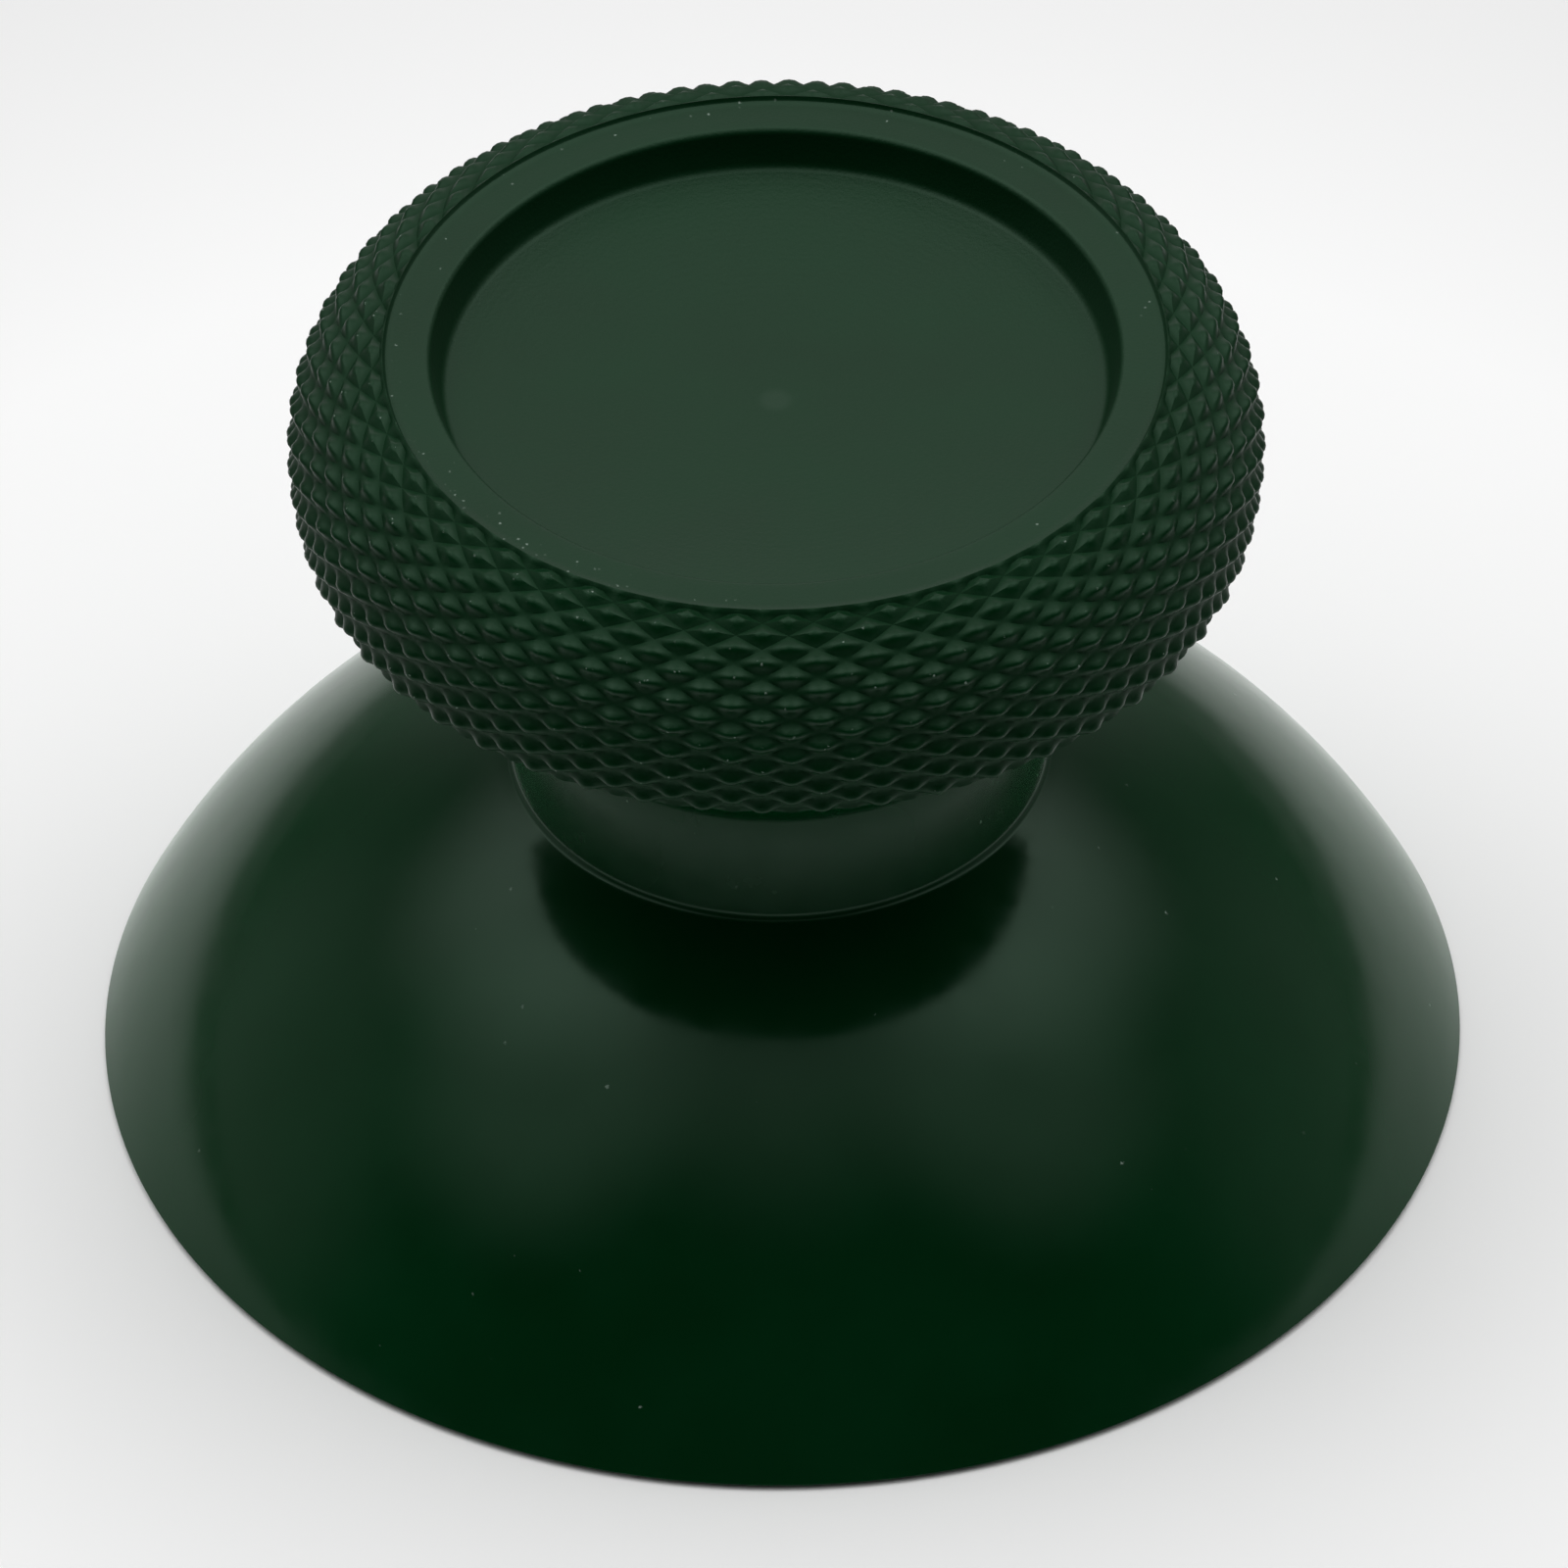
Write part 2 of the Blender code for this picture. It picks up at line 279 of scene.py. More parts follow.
def band_curve():
    """Fine points down the knurl's crests, and the distance walked to each.

    Over the widest ring the curve is a quarter of an ellipse from the land's edge, and under it a
    quarter of a narrower one: centre + (a cos t, b sin t).
    """
    upper_centre = WIDEST_RADIUS - SHOULDER_HALF_WIDTH
    first = math.acos((BAND_TOP_RADIUS - upper_centre) / SHOULDER_HALF_WIDTH)
    t = np.linspace(first, 0.0, 800)
    upper = np.stack(
        [upper_centre + SHOULDER_HALF_WIDTH * np.cos(t), WIDEST_HEIGHT + SHOULDER_HALF_HEIGHT * np.sin(t)],
        axis=1,
    )
    t = np.linspace(0.0, math.pi / 2, 800)[1:]
    lower = np.stack(
        [
            WIDEST_RADIUS - LOWER_HALF_WIDTH + LOWER_HALF_WIDTH * np.cos(t),
            WIDEST_HEIGHT - LOWER_HALF_HEIGHT * np.sin(t),
        ],
        axis=1,
    )
    points = np.concatenate([upper, lower])
    walked = np.concatenate([[0.0], np.cumsum(np.linalg.norm(np.diff(points, axis=0), axis=1))])
    return points, walked


def smooth_step(low, high, value):
    """0 under low, 1 over high, and 3 t^2 - 2 t^3 between them."""
    t = np.clip((value - low) / (high - low), 0.0, 1.0)
    return t * t * (3 - 2 * t)


def knurl_relief(u, v):
    """Height of the diamond knurl from 0 in the grooves to 1 on the crests.

    u counts half columns round the knob and v half rows down it. Two families of grooves cross: with
    p = (u + v) / 2 and q = (u - v) / 2, a groove lies halfway between whole numbers of each, and the
    height a or b of its side rises from it evenly to the crest's small flat. The upper rows' studs are
    pyramids, the lower of a and b, with the soft minimum -k log(e^(-a/k) + e^(-b/k)) so that no edge is
    sharp. Further down they turn into slimmer points, a times b.
    """
    k = KNURL_SOFTNESS

    def side(x):
        return np.minimum((1 - 2 * np.abs(x - np.round(x))) / (1 - KNURL_CREST), 1.0)

    a, b = side((u + v) / 2), side((u - v) / 2)
    low = -k * np.log(np.exp(-a / k) + np.exp(-b / k))
    bottom, top = -k * math.log(2.0), 1 - k * math.log(2.0)
    pyramid = np.clip((low - bottom) / (top - bottom), 0.0, 1.0)
    slim = KNURL_SLIM * smooth_step(KNURL_SLIM_START, KNURL_SLIM_END, v)
    return (1 - slim) * pyramid + slim * a * b


def knurled_band():
    """Rings of the knurled band and their relief, spaced so that some lie on every row of crests.

    A point is the crests' curve moved in along its normal by depth (1 - relief). The grooves run in just
    past the land's edge, where the crests stand a little higher than the land, and deepen over the
    shoulder. The last ring lies at the grooves' floor.
    """
    points, walked = band_curve()
    v = np.arange(KNURL_FIRST_STEP, KNURL_HALF_ROWS * CELL_STEPS + 1) / CELL_STEPS
    v[0] = KNURL_ROW_CUT
    length = (v - KNURL_ROW_CUT) * KNURL_PITCH / 2
    radius = np.interp(length, walked, points[:, 0])
    height = np.interp(length, walked, points[:, 1])
    middle = (walked[1:] + walked[:-1]) / 2
    tangent = np.diff(points, axis=0) / np.diff(walked)[:, None]
    normal_out = np.interp(length, middle, -tangent[:, 1])
    normal_up = np.interp(length, middle, tangent[:, 0])
    u = np.arange(BAND_STEPS) / CELL_STEPS
    relief = knurl_relief(u[None, :], v[:, None])
    relief *= 1 - smooth_step(v[-1] - KNURL_RUN_OUT, v[-1], v)[:, None]
    deepened = smooth_step(KNURL_DEEP_START, KNURL_DEEP_END, v)
    depth = KNURL_TOP_DEPTH + (KNURL_DEPTH - KNURL_TOP_DEPTH) * deepened
    depth *= smooth_step(0.0, KNURL_RUN_IN, v - v[0])
    cut = depth[:, None] * (1 - relief)
    r = radius[:, None] - cut * normal_out[:, None]
    z = height[:, None] - cut * normal_up[:, None]
    angle = 2 * math.pi * u[None, :] / (2 * KNURL_COLUMNS) + KNURL_TURN
    rings = np.stack([r * np.cos(angle), r * np.sin(angle), z], axis=2)
    return rings, relief


def neck_section(band_end):
    """The smooth underside of the knob, the neck, and the fillet rolled between neck and dome."""
    top = (NECK_RADIUS, NECK_TOP_HEIGHT)
    underside = bend(band_end, (NECK_RADIUS, NECK_TOP_HEIGHT + UNDERSIDE_HOLLOW), top, 16)
    centre_radius = NECK_RADIUS + NECK_DOME_FILLET
    rolled = DOME_SPHERE_RADIUS + NECK_DOME_FILLET
    centre = (centre_radius, float(dome_height(centre_radius, rolled)))
    turn = math.degrees(math.acos(centre_radius / rolled))
    fillet = arc(centre, NECK_DOME_FILLET, 180, 180 + turn, 8)
    return np.concatenate([underside[1:], straight(top, fillet[0], 4)[1:], fillet[1:]])


def dome_section(first_radius):
    """The dome's outside from the fillet down, the chamfered rim and the narrow ring it stands on."""
    outside = dome_arc(first_radius, DOME_RIM_RADIUS, DOME_SPHERE_RADIUS, 40)
    rim = straight((DOME_RIM_RADIUS, DOME_RIM_LAND), (DOME_RIM_RADIUS - RIM_CHAMFER, 0.0), 3)
    inner_radius = DOME_SPHERE_RADIUS - DOME_WALL
    inner_foot = math.sqrt(inner_radius**2 - DOME_CENTRE_HEIGHT**2)
    foot = straight(rim[-1], (inner_foot, 0.0), 3)
    return np.concatenate([outside[1:], rim[1:], foot[1:]])


def hollow_section():
    """The hollow under the dome, the boss with its root fillet and its end, up to the socket's mouth."""
    inner = DOME_SPHERE_RADIUS - DOME_WALL
    root_radius = BOSS_RADIUS + BOSS_ROOT_FILLET
    root = (root_radius, float(dome_height(root_radius, inner - BOSS_ROOT_FILLET)))
    turn = math.degrees(math.acos(root_radius / (inner - BOSS_ROOT_FILLET)))
    fillet = arc(root, BOSS_ROOT_FILLET, turn, 180, 6)
    inner_foot = math.sqrt(inner**2 - DOME_CENTRE_HEIGHT**2)
    roof = dome_arc(inner_foot, fillet[0, 0], inner, 24)
    side = straight(fillet[-1], (BOSS_RADIUS, BOSS_END_HEIGHT + BOSS_END_CHAMFER), 6)
    end_outer = (BOSS_RADIUS - BOSS_END_CHAMFER, BOSS_END_HEIGHT)
    mouth = (SOCKET_DIAMETER / 2 + SOCKET_LEAD_IN, BOSS_END_HEIGHT)
    end = straight(end_outer, mouth, 3)
    lead_in = straight(mouth, (SOCKET_DIAMETER / 2, BOSS_END_HEIGHT + SOCKET_LEAD_IN), 2)
    return np.concatenate([roof[1:], fillet[1:], side[1:], end, lead_in[1:]])


def turned(section, steps):
    """Rings (r cos a, r sin a, z) of a section's points turned about the axis, in line with the knurl."""
    a = 2 * math.pi * np.arange(steps) / steps + KNURL_TURN
    r = section[:, 0][:, None]
    z = np.broadcast_to(section[:, 1][:, None], (len(section), steps))
    return np.stack([r * np.cos(a), r * np.sin(a), z], axis=2)


def socket_rings(steps):
    """Rings of the double-D socket: at angle a its wall is min(R, half the flats' distance / |sin a|).

    The ring nearest to each corner between flat and round is moved onto the corner.
    """
    a = 2 * math.pi * np.arange(steps) / steps + KNURL_TURN
    bore = SOCKET_DIAMETER / 2
    flat = SOCKET_ACROSS_FLATS / 2
    corner = math.asin(flat / bore)
    for turn in (corner, math.pi - corner, math.pi + corner, 2 * math.pi - corner):
        a[np.argmin(np.abs(a - turn))] = turn
    reach = np.minimum(bore, flat / np.maximum(np.abs(np.sin(a)), 1e-6))
    mouth = BOSS_END_HEIGHT + SOCKET_LEAD_IN + SOCKET_LEDGE_SLOPE
    heights = np.linspace(mouth, BOSS_END_HEIGHT + SOCKET_DEPTH, 7)
    wall = [np.stack([reach * np.cos(a), reach * np.sin(a), np.full(steps, z)], axis=1) for z in heights]
    inner = wall[-1] * np.array([0.5, 0.5, 1.0])
    return np.stack(wall + [inner])


def grid_faces(first, rows, steps):
    """Four-sided faces between rings of the same number of points, the first ring starting at first."""
    row, column = np.meshgrid(np.arange(rows - 1), np.arange(steps), indexing="ij")
    following = (column + 1) % steps
    a = first + row * steps + column
    b = a + steps
    c = first + (row + 1) * steps + following
    d = first + row * steps + following
    return np.stack([a, b, c, d], axis=2).reshape(-1, 4)


def knurl_faces(first, rows, steps):
    """Triangles of the band: each small square is split in line with the groove that crosses its cell."""
    row, column = np.meshgrid(np.arange(rows - 1), np.arange(steps), indexing="ij")
    following = (column + 1) % steps
    a = first + row * steps + column
    b = a + steps
    c = first + (row + 1) * steps + following
    d = first + row * steps + following
    cell = (row + KNURL_FIRST_STEP) // CELL_STEPS + column // CELL_STEPS
    falling = (cell % 2 == 1)[..., None]
    one = np.where(falling, np.stack([a, b, c], axis=2), np.stack([a, b, d], axis=2))
    two = np.where(falling, np.stack([a, c, d], axis=2), np.stack([b, c, d], axis=2))
    return np.concatenate([one.reshape(-1, 3), two.reshape(-1, 3)])


def join_faces(upper, upper_steps, lower, lower_steps):
    """Triangles between two rings where one has twice as many points as the other."""
    k = np.arange(min(upper_steps, lower_steps))
    if lower_steps > upper_steps:
        c, d = upper + k, upper + (k + 1) % upper_steps
        e, f, g = lower + 2 * k, lower + 2 * k + 1, lower + (2 * k + 2) % lower_steps
        parts = [(c, e, f), (c, f, d), (d, f, g)]
    else:
        c, d = lower + k, lower + (k + 1) % lower_steps
        e, f, g = upper + 2 * k, upper + 2 * k + 1, upper + (2 * k + 2) % upper_steps
        parts = [(e, c, f), (f, c, d), (f, d, g)]
    return np.concatenate([np.stack(part, axis=1) for part in parts])


def make_cap():
    """The whole cap as one closed skin of rings, with a point at each end of the axis.

    Faces take the satin plastic on the dish and the land, the knurl's on its band, the smooth one on the
    neck, the glossy one on the dome and its rim, and the plain one in the hollow. The attribute crest
    holds the knurl's relief.
    """
    band, relief = knurled_band()
    top = dish_section()
    run_in = bend(top[-1], (LAND_RADIUS, KNOB_TOP_HEIGHT), (BAND_TOP_RADIUS, band[0, 0, 2]), 3)
    top = np.concatenate([top, run_in[1:-1]])
    band_end = (float(np.hypot(band[-1, 0, 0], band[-1, 0, 1])), float(band[-1, 0, 2]))
    neck = neck_section(band_end)
    dome = dome_section(neck[-1, 0])
    hollow = hollow_section()
    socket = socket_rings(TURN_STEPS)

    blocks = [turned(top, TURN_STEPS), band, turned(neck, TURN_STEPS)]
    blocks += [turned(dome, TURN_STEPS), turned(hollow, TURN_STEPS), socket]
    sizes = [block.shape[0] * block.shape[1] for block in blocks]
    first = np.concatenate([[1], 1 + np.cumsum(sizes)])
    dish_centre = (0.0, 0.0, DISH_EDGE_HEIGHT - DISH_SAG)
    socket_centre = (0.0, 0.0, BOSS_END_HEIGHT + SOCKET_DEPTH)
    points = np.concatenate([[dish_centre]] + [block.reshape(-1, 3) for block in blocks] + [[socket_centre]])

    k = np.arange(TURN_STEPS)
    following = (k + 1) % TURN_STEPS
    top_end = first[1] - TURN_STEPS
    band_end_ring = first[2] - BAND_STEPS
    satin = [np.stack([0 * k, first[0] + k, first[0] + following], axis=1)]
    satin.append(grid_faces(first[0], len(top), TURN_STEPS))
    satin.append(join_faces(top_end, TURN_STEPS, first[1], BAND_STEPS))
    knurl = [knurl_faces(first[1], len(band), BAND_STEPS)]
    smooth = [join_faces(band_end_ring, BAND_STEPS, first[2], TURN_STEPS)]
    smooth.append(grid_faces(first[2], len(neck), TURN_STEPS))
    gloss = [grid_faces(first[3] - TURN_STEPS, len(dome) + 1, TURN_STEPS)]
    last_ring = first[6] - TURN_STEPS
    plain = [grid_faces(first[4] - TURN_STEPS, len(hollow) + len(socket) + 1, TURN_STEPS)]
    plain.append(np.stack([last_ring + k, np.full_like(k, first[6]), last_ring + following], axis=1))

    crest = np.zeros(len(points))
    crest[first[1] : first[2]] = relief.reshape(-1)
    return make_mesh("moulded_cap", points, (satin, knurl, smooth, gloss, plain), crest)


def make_mesh(name, points, zones, crest):
    """Puts points in millimetres and the faces of each material zone into one object, smooth all over."""
    faces = []
    zone_of_face = []
    for zone, arrays in enumerate(zones):
        for array in arrays:
            faces += array.tolist()
            zone_of_face += [zone] * len(array)
    mesh = bpy.data.meshes.new(name)
    mesh.from_pydata((points * MM).tolist(), [], faces)
    mesh.polygons.foreach_set("use_smooth", [True] * len(faces))
    mesh.polygons.foreach_set("material_index", zone_of_face)
    attribute = mesh.attributes.new("crest", "FLOAT", "POINT")
    attribute.data.foreach_set("value", crest.astype(np.float32))
    mesh.update()
    mesh.set_sharp_from_angle(angle=math.radians(40))
    obj = bpy.data.objects.new(name, mesh)
    bpy.context.scene.collection.objects.link(obj)
    return obj


def new_group(name, inputs, outputs):
    """An empty shader node group with named sockets, and the nodes that hold them."""
    tree = bpy.data.node_groups.new(name, "ShaderNodeTree")
    for socket, kind, value in inputs:
        made = tree.interface.new_socket(socket, in_out="INPUT", socket_type=kind)
        if value is not None:
            made.default_value = value
    for socket, kind in outputs:
        tree.interface.new_socket(socket, in_out="OUTPUT", socket_type=kind)
    return tree, tree.nodes.new("NodeGroupInput"), tree.nodes.new("NodeGroupOutput")


def place_group(tree, group, **values):
    """Adds a group to a node tree and sets its inputs; an underscore in a name stands for a space."""
    node = tree.nodes.new("ShaderNodeGroup")
    node.node_tree = group
    for socket, value in values.items():
        node.inputs[socket.replace("_", " ")].default_value = value
    return node


def math_node(tree, operation, first, second=None, clamp=False):
    """A Math node whose inputs are linked sockets or plain numbers."""
    node = tree.nodes.new("ShaderNodeMath")
    node.operation = operation
    node.use_clamp = clamp
    for slot, value in zip(node.inputs, (first, second)):
        if value is None:
            continue
        if isinstance(value, (int, float)):
            slot.default_value = value
        else:
            tree.links.new(value, slot)
    return node.outputs[0]


def scaled_vector(tree, vector, factor):
    """A vector times a plain number or a linked socket."""
    node = tree.nodes.new("ShaderNodeVectorMath")
    node.operation = "SCALE"
    tree.links.new(vector, node.inputs[0])
    if isinstance(factor, (int, float)):
        node.inputs["Scale"].default_value = factor
    else:
        tree.links.new(factor, node.inputs["Scale"])
    return node.outputs[0]


def vector_length(tree, vector):
    """The length of a linked vector."""
    node = tree.nodes.new("ShaderNodeVectorMath")
    node.operation = "LENGTH"
    tree.links.new(vector, node.inputs[0])
    return node.outputs["Value"]


def noise_node(tree, position, scale, detail, roughness):
    """Cloudy noise between 0 and 1; a larger scale makes smaller clouds."""
    node = tree.nodes.new("ShaderNodeTexNoise")
    node.inputs["Scale"].default_value = scale
    node.inputs["Detail"].default_value = detail
    node.inputs["Roughness"].default_value = roughness
    tree.links.new(position, node.inputs["Vector"])
    return node.outputs["Fac"]


def map_range(tree, value, low, high, to_low, to_high, smooth=False):
    """Carries the range low to high over to another one, and holds its ends outside it."""
    node = tree.nodes.new("ShaderNodeMapRange")
    node.interpolation_type = "SMOOTHSTEP" if smooth else "LINEAR"
    for socket, number in zip(node.inputs[1:5], (low, high, to_low, to_high)):
        socket.default_value = number
    tree.links.new(value, node.inputs[0])
    return node.outputs[0]


def moulded_grain_group():
    """Fine spark-eroded grain of the mould: a height, and a tone that varies slowly over the surface."""
    tree, entry, result = new_group(
        "moulded grain",
        [("Position", "NodeSocketVector", None), ("Grain Size", "NodeSocketFloat", 0.08)],
        [("Height", "NodeSocketFloat"), ("Tone", "NodeSocketFloat")],
    )
    count = math_node(tree, "DIVIDE", 1.0, entry.outputs["Grain Size"])
    scaled = scaled_vector(tree, entry.outputs["Position"], count)
    grain = noise_node(tree, scaled, 1.0, 2.0, 0.6)
    tree.links.new(grain, result.inputs["Height"])
    slow = noise_node(tree, entry.outputs["Position"], TONE_SCALE, 3.0, 0.55)
    tree.links.new(slow, result.inputs["Tone"])
    return tree


def dust_group():
    """Specks of pale dust: small ragged cells of which only a few pass, more of them where Cover is high."""
    tree, entry, result = new_group(
        "dust specks",
        [
            ("Position", "NodeSocketVector", None),
            ("Speck Size", "NodeSocketFloat", 0.1),
            ("Cover", "NodeSocketFloat", 0.1),
        ],
        [("Mask", "NodeSocketFloat")],
    )
    count = math_node(tree, "DIVIDE", 1.0, entry.outputs["Speck Size"])
    scaled = scaled_vector(tree, entry.outputs["Position"], count)
    ragged = tree.nodes.new("ShaderNodeTexNoise")
    ragged.inputs["Scale"].default_value = SPECK_RAGGEDNESS
    tree.links.new(scaled, ragged.inputs["Vector"])
    shifted = tree.nodes.new("ShaderNodeVectorMath")
    shifted.operation = "MULTIPLY_ADD"
    tree.links.new(ragged.outputs["Color"], shifted.inputs[0])
    shifted.inputs[1].default_value = (SPECK_SHIFT, SPECK_SHIFT, SPECK_SHIFT)
    tree.links.new(scaled, shifted.inputs[2])
    cells = tree.nodes.new("ShaderNodeTexVoronoi")
    cells.inputs["Scale"].default_value = 1.0
    tree.links.new(shifted.outputs[0], cells.inputs["Vector"])
    chance = tree.nodes.new("ShaderNodeSeparateColor")
    tree.links.new(cells.outputs["Color"], chance.inputs[0])
    passed = math_node(tree, "LESS_THAN", chance.outputs[0], entry.outputs["Cover"])
    shape = map_range(tree, cells.outputs["Distance"], SPECK_CORE, SPECK_REACH, 1.0, 0.0, smooth=True)
    strength = math_node(tree, "MULTIPLY", shape, passed)
    strength = math_node(tree, "MULTIPLY", strength, chance.outputs[1])
    tree.links.new(strength, result.inputs["Mask"])
    return tree


def turning_group():
    """Faint rings about the axis, as a turned mould leaves them: a wave over the distance from it."""
    tree, entry, result = new_group(
        "turning marks",
        [("Position", "NodeSocketVector", None), ("Spacing", "NodeSocketFloat", 0.12)],
        [("Height", "NodeSocketFloat"), ("Distance", "NodeSocketFloat")],
    )
    flat = tree.nodes.new("ShaderNodeVectorMath")
    flat.operation = "MULTIPLY"
    flat.inputs[1].default_value = (1.0, 1.0, 0.0)
    tree.links.new(entry.outputs["Position"], flat.inputs[0])
    distance = vector_length(tree, flat.outputs[0])
    turns = math_node(tree, "DIVIDE", distance, entry.outputs["Spacing"])
    wave = math_node(tree, "SINE", math_node(tree, "MULTIPLY", turns, 2 * math.pi))
    tree.links.new(wave, result.inputs["Height"])
    tree.links.new(distance, result.inputs["Distance"])
    return tree


GRAIN = moulded_grain_group()
DUST = dust_group()
TURNING = turning_group()


def start_plastic(name, ior):
    """A new material with its shader, and a position in millimetres from the object's own axes."""
    material = bpy.data.materials.new(name)
    material.use_nodes = True
    tree = material.node_tree
    shader = tree.nodes["Principled BSDF"]
    shader.inputs["Metallic"].default_value = 0.0
    shader.inputs["IOR"].default_value = ior
    shader.inputs["Specular Tint"].default_value = SHEEN_GREEN
    coordinates = tree.nodes.new("ShaderNodeTexCoord")
    return material, tree, shader, scaled_vector(tree, coordinates.outputs["Object"], 1 / MM)


def mix_colour(tree, factor, first, second):
    """A colour between two, each a plain colour or a linked socket."""
    node = tree.nodes.new("ShaderNodeMix")
    node.data_type = "RGBA"
    tree.links.new(factor, node.inputs[0])
    for slot, value in ((node.inputs[6], first), (node.inputs[7], second)):
        if isinstance(value, tuple):
            slot.default_value = value
        else:
            tree.links.new(value, slot)
    return node.outputs[2]


def green_of(tree, grain):
    """The plastic's green, which drifts between its two shades with the grain's tone."""
    tone = map_range(tree, grain.outputs["Tone"], TONE_LOW, TONE_HIGH, 0.0, 1.0)
    return mix_colour(tree, tone, DARK_GREEN, LIGHT_GREEN)


def roughness_of(tree, grain, limits):
    """A roughness that drifts between two limits with the grain's tone."""
    return map_range(tree, grain.outputs["Tone"], TONE_LOW, TONE_HIGH, *limits)


def rougher_with_dust(tree, rough, dust):
    """The roughness, made higher where a speck of dust lies."""
    added = math_node(tree, "MULTIPLY", dust.outputs["Mask"], DUST_ROUGHNESS)
    return math_node(tree, "ADD", rough, added, clamp=True)


def add_bump(tree, shader, height, depth):
    """Turns the surface's normal as a height of 0 to 1 over a depth in millimetres would."""
    node = tree.nodes.new("ShaderNodeBump")
    node.inputs["Strength"].default_value = 1.0
    node.inputs["Distance"].default_value = depth * MM
    tree.links.new(height, node.inputs["Height"])
    tree.links.new(node.outputs[0], shader.inputs["Normal"])


def near_dusty_place(tree, position, nearest, farthest, least):
    """1 within the nearest distance of the dusty place, falling to the least value at the farthest."""
    reach = tree.nodes.new("ShaderNodeVectorMath")
    reach.operation = "DISTANCE"
    tree.links.new(position, reach.inputs[0])
    reach.inputs[1].default_value = DUSTY_PLACE
    return map_range(tree, reach.outputs["Value"], nearest, farthest, 1.0, least, smooth=True)


def satin_plastic():
    """The dish's and the land's satin plastic: grain, faint turning marks in the dish, dust on the edge.

    The dust lies most thickly round one place at the front left of the land's edge. A small paler spot
    at the dish's centre is the mark of the mould's gate.
    """
    material, tree, shader, position = start_plastic("satin dark green plastic", PLASTIC_IOR)
    grain = place_group(tree, GRAIN, Grain_Size=FINE_GRAIN)
    turning = place_group(tree, TURNING, Spacing=TURNING_SPACING)
    dust = place_group(tree, DUST, Speck_Size=LAND_SPECK)
    for node in (grain, turning, dust):
        tree.links.new(position, node.inputs["Position"])
    distance = turning.outputs["Distance"]

    near = near_dusty_place(tree, position, *LAND_DUST_FALL)
    at_edge = map_range(tree, distance, DUST_START_RADIUS, DUST_FULL_RADIUS, 0.0, LAND_COVER, smooth=True)
    tree.links.new(math_node(tree, "MULTIPLY", at_edge, near), dust.inputs["Cover"])

    gate = map_range(tree, distance, GATE_RADIUS * 0.4, GATE_RADIUS, GATE_SHARE, 0.0, smooth=True)
    colour = mix_colour(tree, gate, green_of(tree, grain), DUST_GREY)
    colour = mix_colour(tree, dust.outputs["Mask"], colour, DUST_GREY)
    tree.links.new(colour, shader.inputs["Base Color"])

    rough = rougher_with_dust(tree, roughness_of(tree, grain, SATIN_ROUGHNESS), dust)
    tree.links.new(rough, shader.inputs["Roughness"])

    in_dish = map_range(tree, distance, TURNING_FADE_RADIUS, TURNING_END_RADIUS, TURNING_SHARE, 0.0)
    rings = math_node(tree, "MULTIPLY", turning.outputs["Height"], in_dish)
    height = math_node(tree, "ADD", grain.outputs["Height"], rings)
    add_bump(tree, shader, height, SATIN_GRAIN_DEPTH)
    return material


def knurl_plastic():
    """The knurl's plastic: dull grooves, and smoother, slightly paler crests that hold dust."""
    material, tree, shader, position = start_plastic("knurled dark green plastic", KNURL_IOR)
    grain = place_group(tree, GRAIN, Grain_Size=FINE_GRAIN)
    dust = place_group(tree, DUST, Speck_Size=KNURL_SPECK)
    for node in (grain, dust):
        tree.links.new(position, node.inputs["Position"])
    crest = tree.nodes.new("ShaderNodeAttribute")
    crest.attribute_name = "crest"
    relief = crest.outputs["Fac"]
    worn = map_range(tree, relief, WORN_RELIEF, 1.0, 0.0, 1.0, smooth=True)
    near = near_dusty_place(tree, position, *KNURL_DUST_FALL)
    cover = math_node(tree, "MULTIPLY", math_node(tree, "MULTIPLY", worn, KNURL_COVER), near)
    tree.links.new(cover, dust.inputs["Cover"])

    paler = math_node(tree, "MULTIPLY", worn, WORN_SHARE)
    colour = mix_colour(tree, paler, green_of(tree, grain), LIGHT_GREEN)
    colour = mix_colour(tree, dust.outputs["Mask"], colour, DUST_GREY)
    tree.links.new(colour, shader.inputs["Base Color"])

    ends = (GROOVE_RELIEF, CREST_RELIEF, GROOVE_ROUGHNESS, CREST_ROUGHNESS)
    rough = map_range(tree, relief, *ends, smooth=True)
    tree.links.new(rougher_with_dust(tree, rough, dust), shader.inputs["Roughness"])
    add_bump(tree, shader, grain.outputs["Height"], KNURL_GRAIN_DEPTH)
    return material


def glossy_plastic(name, ior, limits):
    """Polished plastic: a long shallow waviness from the mould, fine haze and a little dust."""
    material, tree, shader, position = start_plastic(name, ior)
    shader.inputs["Sheen Weight"].default_value = RIM_SHEEN_WEIGHT
    shader.inputs["Sheen Tint"].default_value = RIM_SHEEN
    shader.inputs["Sheen Roughness"].default_value = RIM_SHEEN_ROUGHNESS
    grain = place_group(tree, GRAIN, Grain_Size=POLISH_WAVE)
    dust = place_group(tree, DUST, Speck_Size=GLOSS_SPECK, Cover=GLOSS_COVER)
    for node in (grain, dust):
        tree.links.new(position, node.inputs["Position"])
    colour = mix_colour(tree, dust.outputs["Mask"], green_of(tree, grain), DUST_GREY)
    tree.links.new(colour, shader.inputs["Base Color"])
    haze = noise_node(tree, position, HAZE_SCALE, 4.0, 0.6)
    tree.links.new(map_range(tree, haze, HAZE_LOW, HAZE_HIGH, *limits), shader.inputs["Roughness"])
    add_bump(tree, shader, grain.outputs["Height"], POLISH_WAVE_DEPTH)
    return material


